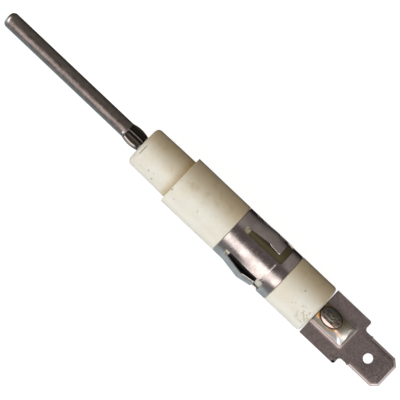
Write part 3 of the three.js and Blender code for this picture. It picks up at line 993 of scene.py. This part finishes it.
def window_outline(centre):
    """A window in the flat sheet, as (x, way round), open round three sides of its finger."""
    half = WINDOW_HALF_ANGLE * CLIP_RADIUS
    inner = half - 2 * SLOT_RADIUS
    slot = half - SLOT_RADIUS
    rear, corner, spacing = WINDOW_REAR_X, WINDOW_CORNER, CLIP_SPACING
    outline = arc((SLOT_FRONT_X, slot), SLOT_RADIUS, -QUARTER, QUARTER, 8)
    outline += line((SLOT_FRONT_X - spacing, half), (rear + corner + spacing, half), spacing)
    outline += arc((rear + corner, half - corner), corner, QUARTER, math.pi, 4)
    outline += line((rear, half - corner - spacing), (rear, corner + spacing - half), spacing)
    outline += arc((rear + corner, corner - half), corner, math.pi, 3 * QUARTER, 4)
    outline += line((rear + corner + spacing, -half), (SLOT_FRONT_X - spacing, -half), spacing)
    outline += arc((SLOT_FRONT_X, -slot), SLOT_RADIUS, -QUARTER, QUARTER, 8)
    outline += line((SLOT_FRONT_X, spacing - inner), (SLOT_FRONT_X, inner - spacing), spacing)
    return [(x, round_way + centre) for x, round_way in reversed(outline)]


def clip_sleeve(material):
    """The stamped sheet rolled round the waist, with a slit, three windows and a forming line."""
    middle = CLIP_SLIT_ANGLE + math.pi
    half_way = math.pi * CLIP_RADIUS - CLIP_SLIT / 2
    half_window = WINDOW_HALF_ANGLE * CLIP_RADIUS
    front, rear = SLEEVE_HIGH.x, SLEEVE_LOW.x
    corner = CLIP_CORNER
    centres = [((angle - middle + math.pi) % TURN - math.pi) * CLIP_RADIUS for angle in FINGER_ANGLES]
    corners = []
    for x, way, start in (
        (rear + corner, corner - half_way, math.pi),
        (front - corner, corner - half_way, 3 * QUARTER),
        (front - corner, half_way - corner, 0.0),
        (rear + corner, half_way - corner, QUARTER),
    ):
        corners += arc((x, way), corner, start, start + QUARTER, 4)
    outlines = [closed_line(corners, CLIP_SPACING)] + [window_outline(centre) for centre in centres]

    bridge = TURN / 3 * CLIP_RADIUS - 2 * half_window - 2 * BRIDGE_MARGIN
    starts = [centre + half_window + BRIDGE_MARGIN for centre in centres]
    bridges = [(start, start + bridge) for start in starts if start + bridge < half_way]
    bends = [FORMING_LINE_X + shift * FORMING_LINE_SPREAD for shift in (-2, -1, -0.5, 0, 0.5, 1, 2)]
    creases = [line((x, start), (x, end), 0.2) for start, end in bridges for x in bends]

    def place(x, way, depth):
        radius = CLIP_RADIUS - depth
        ridge = math.exp(-(((x - FORMING_LINE_X) / FORMING_LINE_SPREAD) ** 2))
        lifted = smoothstep(x, *LIFTED_EDGE_FRONT) * smoothstep(x, *LIFTED_EDGE_REAR)
        for start, end in bridges:
            inside = smoothstep(way, start, start + FORMING_LINE_FADE)
            inside *= smoothstep(way, end, end - FORMING_LINE_FADE)
            radius += FORMING_LINE_HEIGHT * ridge * inside
            if start - BRIDGE_MARGIN - LIFTED_EDGE_OVERLAP < way < end:
                near_edge = max(0.0, 1 - (way - start + BRIDGE_MARGIN) / LIFTED_EDGE_WIDTH)
                radius += LIFTED_EDGE * near_edge**2 * lifted
        angle = middle + way / CLIP_RADIUS
        return (x, radius * math.cos(angle), radius * math.sin(angle))

    def rim_at(x, way):
        inner = half_window - 2 * SLOT_RADIUS + SAME_PLACE
        on_root = abs(x - SLOT_FRONT_X) < SAME_PLACE
        return 0.0 if on_root and any(abs(way - centre) <= inner for centre in centres) else 1.0

    mesh = sheet("sleeve", outlines, creases, CLIP_SPACING, CLIP_SHEET, CLIP_RIM, place, rim_at)
    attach(piece("sleeve", mesh, material, ["clip_sleeve"]), "clip")


def finger_recipe(labels, material):
    """A length of spring finger: a strip with rounded edges, bent at its crease, curled round the rod."""
    net = Recipe("spring_finger", labels)
    given = net.given
    inputs = {"Start": (0.0, 0.0, 0.0), "End": (1.0, 0.0, 0.0)}
    spine = net.node("GeometryNodeCurvePrimitiveLine", None, inputs)
    spine = net.node("GeometryNodeResampleCurve", None, {"Curve": spine, "Count": FINGER_STEPS})
    inputs = {"Width": 1.0, "Height": given["Sheet"]}
    section = net.node("GeometryNodeCurvePrimitiveQuadrilateral", None, inputs)
    section = net.node("GeometryNodeSubdivideCurve", None, {"Curve": section, "Cuts": FINGER_CUTS})
    inputs = {"Curve": spine, "Profile Curve": section, "Fill Caps": True}
    strip = net.node("GeometryNodeCurveToMesh", None, inputs)

    place = net.node("GeometryNodeInputPosition")
    along, even, thick = net.split(place)
    crowded = 1 - net.larger(0.0, 1 - 2 * abs(even)) ** FINGER_SIDE_CROWDING
    wide = 0.5 * crowded * net.maths("SIGN", even)
    reach = 1 - (1 - along) ** FINGER_END_CROWDING
    x = given["Front"] + (given["Rear"] - given["Front"]) * reach

    climb = (x - given["Rise"]) / (given["Crease"] - given["Rise"])
    rising = given["Sleeve Radius"] + climb * (given["Crease Radius"] - given["Sleeve Radius"])
    rising = net.maths("SMOOTH_MAX", rising, given["Sleeve Radius"], FINGER_ROOT_SOFTNESS)
    drop = (x - given["Crease"]) / (given["Tip"] - given["Crease"])
    falling = given["Crease Radius"] + drop * (given["Tip Radius"] - given["Crease Radius"])
    skin = net.maths("SMOOTH_MIN", rising, falling, FINGER_CREASE_SOFTNESS)

    width = given["Width"] + net.part(drop, 0.0, 1.0) * (given["Tip Width"] - given["Width"])
    near_end = net.larger(0.0, 1 - (x - given["Tip"]) / given["Tip Corner"])
    rounding = given["Tip Corner"] * (1 - net.maths("SQRT", net.larger(0.0, 1 - near_end * near_end)))
    width = width - 2 * rounding * given["Free End"]

    rim = given["Rim"] + (given["Bent Rim"] - given["Rim"]) * net.smooth(drop, 0.05, 0.25)
    from_side = (0.5 - abs(wide)) * width
    side_drop = rim * net.smooth(from_side, rim, 0.0)
    end_drop = rim * net.smooth(x - given["Tip"], rim, 0.0) * given["Free End"]
    keep = 1 - 2 * net.larger(side_drop, end_drop) / given["Sheet"]
    radius = skin - given["Sheet"] / 2 + thick * keep
    net.end(net.wrap(strip, x, radius, given["Turn"] - wide * width / skin), material)
    return net


def spring_fingers(material):
    """Each finger is made of two strips: a leg that rises from its root, and a tip that runs on over the
    crease.
    """
    shared = {
        "Sheet": CLIP_SHEET,
        "Sleeve Radius": CLIP_RADIUS,
        "Rise": FINGER_RISE_X,
        "Crease": FINGER_CREASE_X,
        "Crease Radius": FINGER_CREASE_RADIUS,
        "Tip": FINGER_TIP_X,
        "Tip Radius": FINGER_TIP_RADIUS,
        "Width": FINGER_WIDTH,
        "Tip Width": FINGER_TIP_WIDTH,
        "Tip Corner": FINGER_TIP_CORNER,
        "Rim": FINGER_RIM,
        "Bent Rim": FINGER_BENT_RIM,
    }
    leg_span = {"Front": SLOT_FRONT_X, "Rear": FINGER_JOIN_X, "Free End": 0.0}
    tip_span = {"Front": FINGER_JOIN_X, "Rear": FINGER_TIP_X, "Free End": 1.0}
    recipe = finger_recipe(["Turn", *leg_span, *shared], material)
    for number, turn in enumerate(FINGER_ANGLES, 1):
        outwards = Vector((0.0, math.cos(turn), math.sin(turn)))

        def at(x):
            return (Vector((x, 0.0, 0.0)) + CLIP_RADIUS * outwards) * MM

        def strip(name, span):
            return tidy_mesh(recipe.make(name, {"Turn": turn} | span | shared), SHARP_ANGLE)

        name = f"finger_{number}_leg_strip"
        leg = piece(name, strip(name, leg_span), material, [f"finger_{number}_leg"])
        start, end = at(SLOT_FRONT_X), at(FINGER_ROOT_X - FINGER_ROOT_BLEND)
        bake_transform(leg)
        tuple(start)
        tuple(end)

        name = f"finger_{number}_tip_strip"
        tip = piece(name, strip(name, tip_span), material, [f"finger_{number}_tip"])
        start, end = at(FINGER_JOIN_X), at(2 * FINGER_CREASE_X - FINGER_JOIN_X)
        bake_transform(tip)
        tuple(start)
        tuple(end)


# ---- Terminal and weld ----


def channel_inside(x, y, half_width, rear):
    """How far a point is inside the raised channel's footprint, which is open at the front."""
    from_rear = x - rear
    from_side = half_width - abs(y - CHANNEL_CENTRE_Y)
    corner = CHANNEL_CORNER
    if from_rear < corner and from_side < corner:
        return corner - math.hypot(corner - from_rear, corner - from_side)
    return min(from_rear, from_side)


def wall_share(inside, run):
    """How far up the channel's wall a point is: a small fillet, a steep wall and a rounded shoulder."""
    return smoothstep(min(1.0, max(0.0, inside / run)) ** CHANNEL_WALL_SHAPE, 0.0, 1.0)


def channel_ring(half_width, rear, corner, front):
    """A line inside the channel's footprint, from its front round its rear to its front again."""
    top = CHANNEL_CENTRE_Y + half_width
    bottom = CHANNEL_CENTRE_Y - half_width
    ring = line((front, bottom), (rear + corner, bottom), TERMINAL_SPACING)
    ring += arc((rear + corner, bottom + corner), corner, 3 * QUARTER, math.pi, 5)[1:]
    ring += line((rear, bottom + corner), (rear, top - corner), TERMINAL_SPACING)[1:]
    ring += arc((rear + corner, top - corner), corner, math.pi, QUARTER, 5)[1:]
    return ring + line((rear + corner, top), (front, top), TERMINAL_SPACING)[1:]


def terminal_top(x, y):
    """Height of the terminal's upper face."""
    inside = channel_inside(x, y, CHANNEL_HALF_WIDTH, CHANNEL_REAR_X)
    crown = (y - CHANNEL_CENTRE_Y) ** 2 / (2 * CHANNEL_CROWN_RADIUS)
    slumped = smoothstep(x, CHANNEL_REAR_X + CHANNEL_SLUMP_LENGTH, CHANNEL_REAR_X)
    slump = CHANNEL_SLUMP * slumped * smoothstep(y, *CHANNEL_SLUMP_SIDES)
    leaning = smoothstep(x, *CHANNEL_LEAN_ENDS)
    slope = CHANNEL_LEAN_FRONT + (CHANNEL_LEAN_REAR - CHANNEL_LEAN_FRONT) * leaning
    lean = slope * (y - CHANNEL_CENTRE_Y + 0.5 * CHANNEL_HALF_WIDTH)
    steep = smoothstep(y, *CHANNEL_WALL_SIDES)
    run = CHANNEL_SOFT_WALL_RUN + (CHANNEL_WALL_RUN - CHANNEL_SOFT_WALL_RUN) * steep
    height = TERMINAL_HIGH.z - SHEET_TOP_Z - crown - slump - lean
    fillet = CHANNEL_FILLET_HEIGHT * max(0.0, min(1.0, 1 + inside / CHANNEL_FILLET_RUN)) ** 2
    return SHEET_TOP_Z + fillet + (height - fillet) * wall_share(inside, run) - tab_bevel(x, y)


def terminal_bottom(x, y):
    """Height of the terminal's lower face."""
    inside = channel_inside(x, y, CHANNEL_INNER_HALF_WIDTH, CHANNEL_INNER_REAR_X)
    crown = (y - CHANNEL_CENTRE_Y) ** 2 / (2 * CHANNEL_CROWN_RADIUS)
    height = CHANNEL_INNER_TOP_Z - SHEET_BOTTOM_Z - crown
    return SHEET_BOTTOM_Z + height * wall_share(inside, CHANNEL_INNER_WALL_RUN) + tab_bevel(x, y)


def tab_bevel(x, y):
    """How much the bevel on the tab's free edges takes off each face."""
    if x > NECK_REAR_X:
        return 0.0
    across = abs(y - TAB_CENTRE_Y)
    slant = math.hypot(TAB_CORNER_LENGTH, TAB_CORNER_WIDTH)
    from_end = x - TERMINAL_LOW.x
    past_corner = across - TAB_HALF_WIDTH + TAB_CORNER_WIDTH
    from_corner = (from_end * TAB_CORNER_WIDTH - past_corner * TAB_CORNER_LENGTH) / slant
    from_edge = min(TAB_HALF_WIDTH - across, from_end, from_corner)
    start = smoothstep(x, NECK_REAR_X, NECK_REAR_X - TAB_BEVEL_RAMP)
    return start * TAB_BEVEL_DEPTH * (1 - min(1.0, max(0.0, from_edge / TAB_BEVEL)))


def terminal_outline(front):
    """The stamped outline in (x, y), with the metal on its left."""
    rear, half, corner = PLATE_REAR_X, PLATE_HALF_WIDTH, PLATE_CORNER
    neck, fillet, end = NECK_REAR_X, NECK_FILLET, TERMINAL_LOW.x
    burr, burr_start = NECK_BURR_HEIGHT, NECK_REAR_X + NECK_BURR_LENGTH
    top, bottom = TAB_CENTRE_Y + TAB_HALF_WIDTH, TAB_CENTRE_Y - TAB_HALF_WIDTH
    corners = [(front, -half), (front, half)]
    corners += arc((rear + corner, half - corner), corner, QUARTER, math.pi, 5)
    corners += arc((rear - fillet, top + fillet), fillet, 0, -QUARTER, 6)
    corners += [(burr_start, top), (neck, top + burr), (neck - 0.06, top)]
    corners += [(end + TAB_CORNER_LENGTH, top), (end, top - TAB_CORNER_WIDTH)]
    corners += [(end, bottom + TAB_CORNER_WIDTH), (end + TAB_CORNER_LENGTH, bottom)]
    corners += [(neck - 0.06, bottom), (neck, bottom - burr), (burr_start, bottom)]
    corners += arc((rear - fillet, bottom - fillet), fillet, QUARTER, 0, 6)
    corners += arc((rear + corner, corner - half), corner, math.pi, 3 * QUARTER, 5)
    return closed_line(corners, TERMINAL_SPACING)


def terminal_blade(material):
    """The stamped terminal: plate, raised channel over the rod, neck and tab."""
    front = TERMINAL_HIGH.x
    tab_hole = arc((TAB_HOLE_X, TAB_CENTRE_Y), TAB_HOLE_RADIUS, TURN, 0, 40)[:-1]
    weld_hole = arc((WELD_X, CHANNEL_CENTRE_Y), WELD_HOLE_RADIUS, TURN, 0, 40)[:-1]
    outlines = [terminal_outline(front), tab_hole, weld_hole]

    creases = []
    for half_width, rear, shifts in (
        (CHANNEL_HALF_WIDTH, CHANNEL_REAR_X, CHANNEL_LINES),
        (CHANNEL_INNER_HALF_WIDTH, CHANNEL_INNER_REAR_X, CHANNEL_INNER_LINES),
    ):
        for shift in shifts:
            corner = max(0.05, CHANNEL_CORNER - shift)
            end = front - TERMINAL_RIM - 0.05
            creases.append(channel_ring(half_width - shift, rear + shift, corner, end))
    creases.append(bevel_line())

    corner = (PLATE_REAR_X, PLATE_HALF_WIDTH)
    thickness = SHEET_TOP_Z - SHEET_BOTTOM_Z

    def place(x, y, depth):
        top, bottom = terminal_top(x, y), terminal_bottom(x, y)
        curl = CORNER_CURL * smoothstep(math.dist((x, y), corner), *CORNER_CURL_REACH)
        return (x, y, top - (top - bottom) * depth / thickness + curl)

    mesh = sheet("terminal", outlines, creases, TERMINAL_GRID, thickness, TERMINAL_RIM, place)
    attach(piece("terminal", mesh, material, ["terminal_blade"]), "insulator")


def bevel_line():
    """The line where the tab's flat face turns into its bevel."""
    end, in_from = TERMINAL_LOW.x, TAB_BEVEL
    half = TAB_HALF_WIDTH - in_from
    top, bottom = TAB_CENTRE_Y + half, TAB_CENTRE_Y - half
    slant = math.hypot(TAB_CORNER_LENGTH, TAB_CORNER_WIDTH)
    along = in_from * (slant - TAB_CORNER_WIDTH) / TAB_CORNER_LENGTH
    across = in_from * (slant - TAB_CORNER_LENGTH) / TAB_CORNER_WIDTH
    start_x = NECK_REAR_X - TAB_BEVEL_RAMP
    corner_x = end + TAB_CORNER_LENGTH + across
    corner_y = TAB_CORNER_WIDTH - in_from + along
    bends = [
        (start_x, top),
        (corner_x, top),
        (end + in_from, top - corner_y),
        (end + in_from, bottom + corner_y),
        (corner_x, bottom),
        (start_x, bottom),
    ]
    spaced = [point for a, b in zip(bends, bends[1:]) for point in line(a, b, TERMINAL_SPACING)[:-1]]
    return spaced + [bends[-1]]


def weld_button(material):
    """A low cap that follows the channel's roof, with a stem through the roof down to the rod."""
    segments, rings = WELD_SEGMENTS, WELD_RINGS

    def cap(share, angle):
        x = WELD_X + share * WELD_HALF_LENGTH * math.cos(angle)
        y = WELD_Y + share * WELD_HALF_WIDTH * math.sin(angle)
        dome = (1 - share**WELD_FLATNESS) ** WELD_EDGE_POWER
        coarse = noise.noise(Vector((1.6 * x, 1.9 * y, 3.0)))
        fine = noise.noise(Vector((4 * x, 4 * y, 7.0)))
        ripple = WELD_EVEN_SHARE + WELD_RIPPLE * (coarse + 0.5 * fine)
        return (x, y, terminal_top(x, y) + WELD_GAP + (WELD_HEIGHT - WELD_GAP) * dome * ripple)

    def underside(share, angle):
        side, up = math.cos(angle), math.sin(angle)
        x = WELD_X + side * (WELD_STEM_RADIUS + share * (WELD_HALF_LENGTH - WELD_STEM_RADIUS))
        rim_y = WELD_Y + up * WELD_HALF_WIDTH
        stem_y = CHANNEL_CENTRE_Y + up * WELD_STEM_RADIUS
        y = stem_y + share * (rim_y - stem_y)
        return (x, y, terminal_top(x, y) + WELD_GAP)

    angles = [TURN * step / segments for step in range(segments)]
    layers = [[cap((ring + 1) / rings, angle) for angle in angles] for ring in range(rings)]
    layers += [[underside(share, angle) for angle in angles] for share in (0.75, 0.5, 0.25, 0.0)]
    foot = ROD_RADIUS + WELD_GAP
    layers.append([(x, y, foot) for x, y, _ in layers[-1]])
    points = [cap(0.0, 0.0)] + [point for layer in layers for point in layer]
    points.append((WELD_X, CHANNEL_CENTRE_Y, foot))
    last = len(points) - 1
    faces = tube_faces(1, len(layers), segments)
    for step in range(segments):
        turned = (step + 1) % segments
        faces.append((0, 1 + turned, 1 + step))
        faces.append((last - segments + step, last - segments + turned, last))
    mesh = mesh_from("weld", points, faces, math.radians(60))
    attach(piece("weld", mesh, material, ["weld_button"]), "insulator")


# ---- Studio ----

# FIELD is how wide a strip the camera sees at the height of the rod's axis
FIELD = 67.45
CAMERA_HEIGHT = 416.0
CAMERA_X, CAMERA_Y = -4.82, 0.17
CAMERA_TURN = math.radians(223.42)
SENSOR = 36.0
FLOOR_HALF_WIDTH = 3000.0
FLOOR_GAP = 0.02


def camera():
    lens = bpy.data.cameras.new("camera")
    lens.sensor_width = SENSOR
    lens.lens = SENSOR * CAMERA_HEIGHT / FIELD
    lens.clip_start = 0.01
    lens.clip_end = 100.0
    made = bpy.data.objects.new("camera", lens)
    made.location = Vector((CAMERA_X, CAMERA_Y, CAMERA_HEIGHT)) * MM
    made.rotation_euler = (0.0, 0.0, CAMERA_TURN)
    bpy.context.scene.collection.objects.link(made)
    bpy.context.scene.camera = made


def softbox(name, towards, along, distance, width, length, brightness, colour, mirrored=True, shines=True):
    """An evenly bright soft light that faces the origin. Its length lies along a given direction."""
    light = bpy.data.lights.new(name, "AREA")
    light.shape = "RECTANGLE"
    light.size = length * MM
    light.size_y = width * MM
    light.energy = brightness * math.pi * light.size * light.size_y
    light.color = colour[:3]
    made = bpy.data.objects.new(name, light)
    facing = Vector(towards).normalized()
    lengthwise = (Vector(along) - facing * facing.dot(Vector(along))).normalized()
    axes = Matrix((lengthwise, facing.cross(lengthwise), facing)).transposed().to_4x4()
    made.matrix_world = Matrix.Translation(facing * distance * MM) @ axes
    made.visible_glossy = mirrored
    made.visible_diffuse = shines
    bpy.context.scene.collection.objects.link(made)


def from_above(degrees):
    """A direction tilted from straight above towards +Y."""
    tilt = math.radians(degrees)
    return (0.0, math.sin(tilt), math.cos(tilt))


ROOM_BANDS = [
    # degrees from straight above round the rod, and the colour there
    (-180, (0.012, 0.012, 0.012)),
    (-130, (0.014, 0.014, 0.014)),
    (-102, (0.2, 0.185, 0.175)),
    (-38, (0.32, 0.3, 0.29)),
    (-26, (0.1, 0.082, 0.082)),
    (8, (0.08, 0.067, 0.067)),
    (14, (0.12, 0.105, 0.1)),
    (62, (0.18, 0.17, 0.17)),
    (92, (0.2, 0.205, 0.215)),
    (106, (0.53, 0.64, 0.68)),
    (180, (0.42, 0.52, 0.56)),
]


def room():
    """Dim surroundings in bands that run along the rod, and a pale backdrop past the floor's edge."""
    world = bpy.data.worlds.new("room")
    world.use_nodes = True
    bpy.context.scene.world = world
    net = Net(world.node_tree)
    background = world.node_tree.nodes["Background"]
    direction = net.node("ShaderNodeTexCoord", out="Generated")
    _, side, up = net.split(direction)
    around = net.maths("ARCTAN2", side, up) / TURN + 0.5
    stops = [(angle / 360 + 0.5, (*colour, 1.0)) for angle, colour in ROOM_BANDS]
    bands = net.ramp(around, stops)
    seen = net.node("ShaderNodeLightPath", out="Is Camera Ray")
    net.feed(background.inputs["Color"], net.mix(seen, bands, grey(0.95)))
    scattered = net.node("ShaderNodeLightPath", out="Is Diffuse Ray")
    net.feed(background.inputs["Strength"], 1 - 0.6 * scattered)


def floor():
    """A plain pale floor just under the object."""
    level = min(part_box(node)[0].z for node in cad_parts)
    mesh = bpy.data.meshes.new("floor")
    half = FLOOR_HALF_WIDTH * MM
    corners = [(-half, -half), (half, -half), (half, half), (-half, half)]
    mesh.from_pydata([(x, y, level - FLOOR_GAP * MM) for x, y in corners], [], [(0, 1, 2, 3)])
    net = Finish("pale_floor", Roughness=0.9, Emission_Strength=0.9)
    net.set(Base_Color=grey(0.25), Emission_Color=grey(1.0))
    mesh.materials.append(net.material)
    made = bpy.data.objects.new("floor", mesh)
    bpy.context.scene.collection.objects.link(made)
    made.visible_glossy = False
    made.visible_diffuse = False


def studio():
    camera()
    floor()
    room()
    rod_way = (1.0, 0.0, 0.0)
    side_way = (0.0, 1.0, 0.0)
    near, far = 300.0, 400.0
    softbox("strip", from_above(35), rod_way, near, 200.0, 900.0, 1.8, (1.0, 0.965, 0.945), shines=False)
    softbox("key", from_above(55), rod_way, near, 222.0, 900.0, 2.12, (1.0, 0.985, 0.97), mirrored=False)
    softbox("fill", from_above(-25), rod_way, near, 220.0, 900.0, 0.72, (1.0, 0.95, 0.85), mirrored=False)
    softbox("front_end", (0.88, 0.1, 0.46), side_way, far, 230.0, 400.0, 1.5, (1.0, 0.97, 0.96))
    softbox("rear_end", (-0.8, 0.1, 0.62), side_way, far, 200.0, 400.0, 1.5, (0.93, 0.97, 1.0))
    bpy.context.scene.view_settings.view_transform = "Standard"


studio()
steel = clip_finish()
ceramic_insulator(ceramic_finish())
electrode_rod(rod_finish())
clip_sleeve(steel)
spring_fingers(steel)
terminal_blade(terminal_finish())
weld_button(weld_finish())
